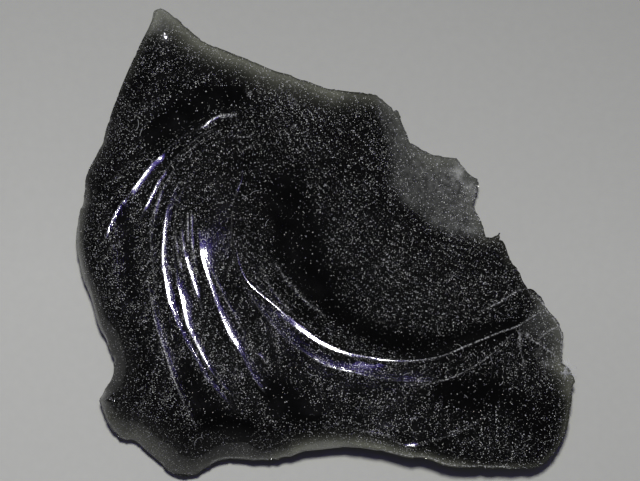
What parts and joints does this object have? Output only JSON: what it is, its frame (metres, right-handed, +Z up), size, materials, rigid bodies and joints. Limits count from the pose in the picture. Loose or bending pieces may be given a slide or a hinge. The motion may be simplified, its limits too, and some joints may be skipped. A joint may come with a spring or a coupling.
{
  "type": "obsidian chunk",
  "caption": "Knapped piece of black volcanic glass with a rippled shell-like fracture face, a sharp irregular rim and a flat facet to rest on.",
  "frame": {"origin": "middle of the bounding box, on the plane of the flat resting facet", "axes": "+X to the right of the rippled face, +Y towards its pointed end, +Z up out of the rippled face"},
  "size_m": [0.06, 0.0567, 0.01],
  "materials": {
    "obsidian": "glossy black volcanic glass, olive-grey where it is thin, with fine pale dust"
  },
  "bodies": {
    "root": {"obsidian_chunk": "obsidian"}
  },
  "joints": []
}
